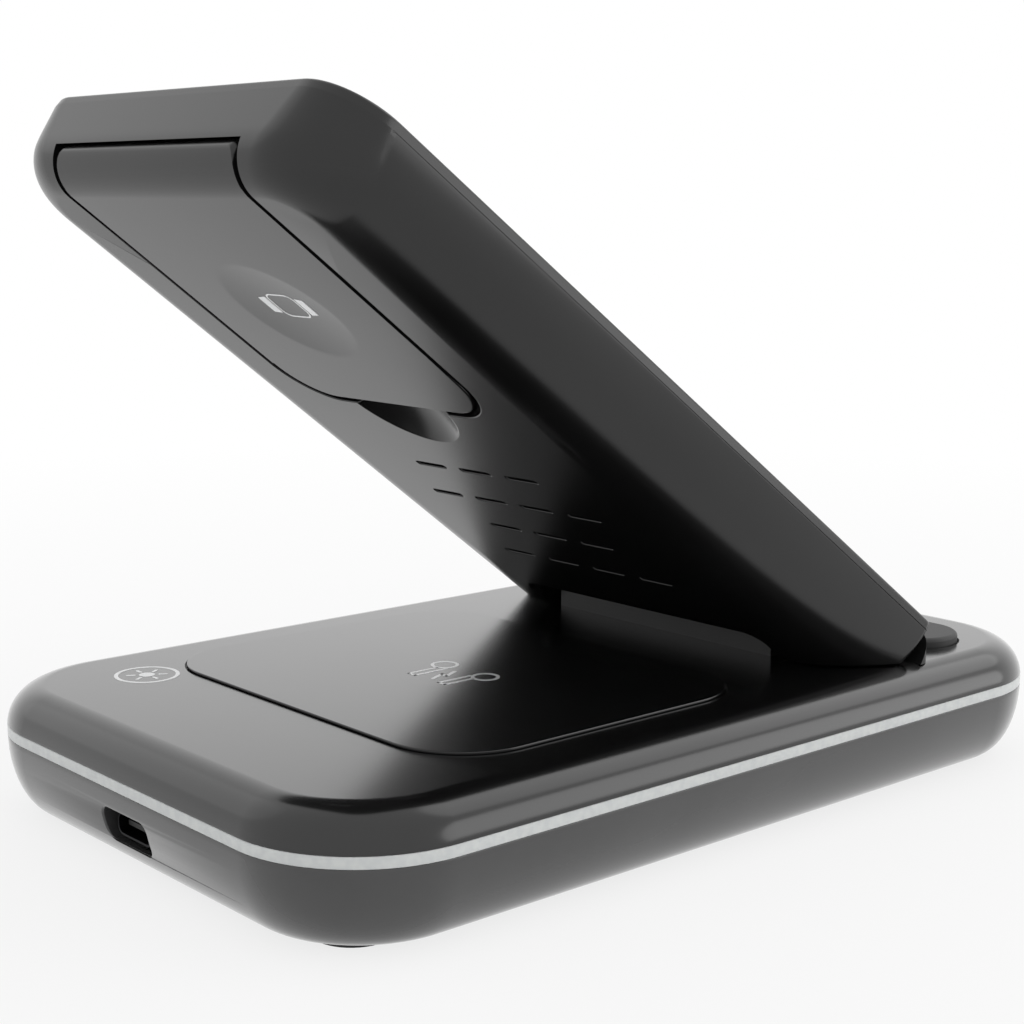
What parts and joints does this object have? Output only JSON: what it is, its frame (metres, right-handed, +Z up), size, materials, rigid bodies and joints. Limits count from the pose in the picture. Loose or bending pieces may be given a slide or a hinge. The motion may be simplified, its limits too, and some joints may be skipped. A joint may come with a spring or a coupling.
{
  "type": "three in one wireless charger",
  "caption": "Folding wireless charging stand: a flat base with an earbud pad and a light ring, a tilting phone panel, and a swing-out watch flap in the panel's back.",
  "frame": {"origin": "centre of the base at the level of its feet", "axes": "+X to the right seen from the phone side, +Y towards the rear with the power socket, +Z up"},
  "size_m": [0.095, 0.15, 0.1045],
  "materials": {
    "base_bottom_shell": "satin moulded",
    "base_top_cover": "satin moulded, slightly glossy",
    "light_ring": "translucent, satin",
    "lamp_strip": "flexible strip of lamps",
    "rubber_feet": "matt",
    "case_screws": "plated",
    "ballast_plate": "bare steel plate",
    "main_circuit_board": "green solder mask",
    "power_socket": "drawn steel sleeve",
    "socket_tongue": "black moulded",
    "touch_sensor": "sensor foil disc",
    "earbud_pad": "satin soft-touch",
    "earbud_coil": "wound copper wire",
    "earbud_ferrite": "pressed ferrite sheet",
    "phone_rest": "matt silicone",
    "hinge_pedestal": "satin moulded",
    "pedestal_screws": "plated",
    "hinge_shaft": "ground steel",
    "friction_washers": "spring steel stack",
    "panel_back_shell": "satin moulded",
    "panel_front_cover": "satin moulded",
    "hinge_bushes": "turned",
    "phone_coil": "wound copper wire",
    "phone_ferrite": "pressed ferrite sheet",
    "phone_magnets": "plated magnets",
    "panel_circuit_board": "green solder mask",
    "flap_shell": "satin moulded",
    "flap_back_cover": "satin moulded",
    "flap_pin": "ground steel",
    "watch_coil": "wound copper wire",
    "watch_ferrite": "pressed ferrite sheet",
    "watch_magnet": "plated magnet"
  },
  "bodies": {
    "base": {"base_bottom_shell": "base_bottom_shell", "base_top_cover": "base_top_cover", "light_ring": "light_ring", "lamp_strip": "lamp_strip", "rubber_feet": "rubber_feet", "case_screws": "case_screws", "ballast_plate": "ballast_plate", "main_circuit_board": "main_circuit_board", "power_socket": "power_socket", "socket_tongue": "socket_tongue", "touch_sensor": "touch_sensor", "earbud_pad": "earbud_pad", "earbud_coil": "earbud_coil", "earbud_ferrite": "earbud_ferrite", "phone_rest": "phone_rest", "hinge_pedestal": "hinge_pedestal", "pedestal_screws": "pedestal_screws", "hinge_shaft": "hinge_shaft", "friction_washers": "friction_washers"},
    "phone_panel": {"panel_back_shell": "panel_back_shell", "panel_front_cover": "panel_front_cover", "hinge_bushes": "hinge_bushes", "phone_coil": "phone_coil", "phone_ferrite": "phone_ferrite", "phone_magnets": "phone_magnets", "panel_circuit_board": "panel_circuit_board"},
    "watch_flap": {"flap_shell": "flap_shell", "flap_back_cover": "flap_back_cover", "flap_pin": "flap_pin", "watch_coil": "watch_coil", "watch_ferrite": "watch_ferrite", "watch_magnet": "watch_magnet"}
  },
  "joints": [
    {"name": "panel_fold", "type": "hinge", "parent": "base", "child": "phone_panel", "pos_m": [0, -0.0264, 0.0289], "axis": [1, 0, 0], "range_deg": [-37.2, 0]},
    {"name": "watch_flap_swing", "type": "hinge", "parent": "phone_panel", "child": "watch_flap", "pos_m": [0, 0.06627, 0.09421], "axis": [1, 0, 0], "range_deg": [0, 130]}
  ]
}
